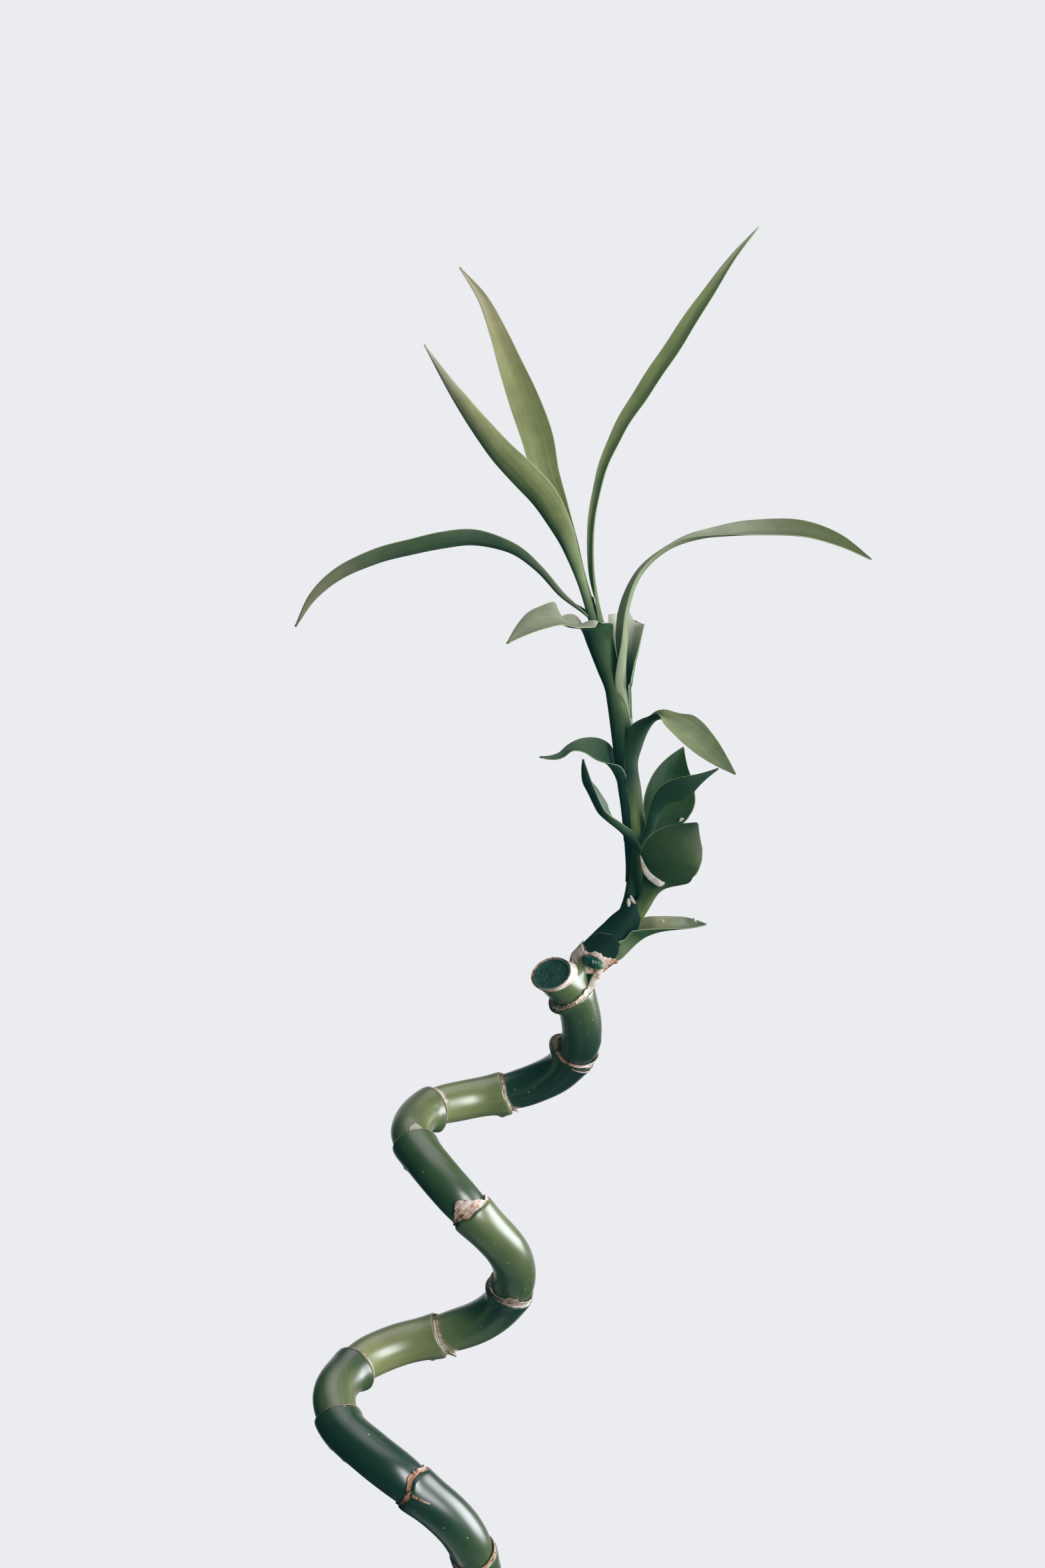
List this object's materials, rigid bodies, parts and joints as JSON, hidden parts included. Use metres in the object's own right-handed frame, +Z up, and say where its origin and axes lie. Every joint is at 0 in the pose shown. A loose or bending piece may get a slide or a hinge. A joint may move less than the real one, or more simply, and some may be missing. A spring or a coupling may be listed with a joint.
{
  "type": "spiral lucky bamboo in a vase",
  "caption": "House plant: a green cane trained into a spiral with tan node rings, a leafy side shoot near the cut top, standing among pebbles in a plain white vase.",
  "frame": {"origin": "centre of the vase's flat underside", "axes": "+Z up, -Y towards the side seen in the picture, +X to its right"},
  "size_m": [0.1603, 0.0904, 0.548],
  "materials": {
    "glaze": "plain white gloss glaze",
    "pebbles": "smooth matt river pebbles",
    "cane": "waxy green rind, paler where it was rubbed",
    "husk": "dry papery tan ring, frayed",
    "shoot": "smooth green stem",
    "leaf": "soft satin leaf with fine lengthwise veins",
    "papery_husk": "torn dry papery husk"
  },
  "bodies": {
    "root": {"vase": "glaze", "pebble_bed": "pebbles", "cane": "cane", "node_ring_03": "husk", "node_ring_04": "husk", "node_ring_05": "husk", "node_ring_06": "husk", "node_ring_07": "husk", "node_ring_08": "husk", "node_ring_09": "husk", "node_ring_10": "husk", "node_ring_11": "husk", "node_ring_12": "husk", "node_ring_13": "husk", "node_ring_14": "husk", "node_ring_15": "husk", "node_ring_16": "husk", "shoot_stem": "shoot", "leaf_scale_long": "leaf", "leaf_low_right": "leaf", "leaf_round": "leaf", "leaf_left_low": "leaf", "leaf_right_pointed": "leaf", "leaf_right_dark": "leaf", "leaf_front_drooping": "leaf", "leaf_left_up": "leaf", "leaf_funnel_left": "leaf", "leaf_funnel_back": "leaf", "leaf_long_right": "leaf", "leaf_top_right": "leaf", "leaf_top_left": "leaf", "leaf_top_back": "leaf", "leaf_long_left": "leaf", "leaf_scale_short": "leaf", "shoot_collar": "papery_husk", "bud": "shoot"}
  },
  "joints": []
}
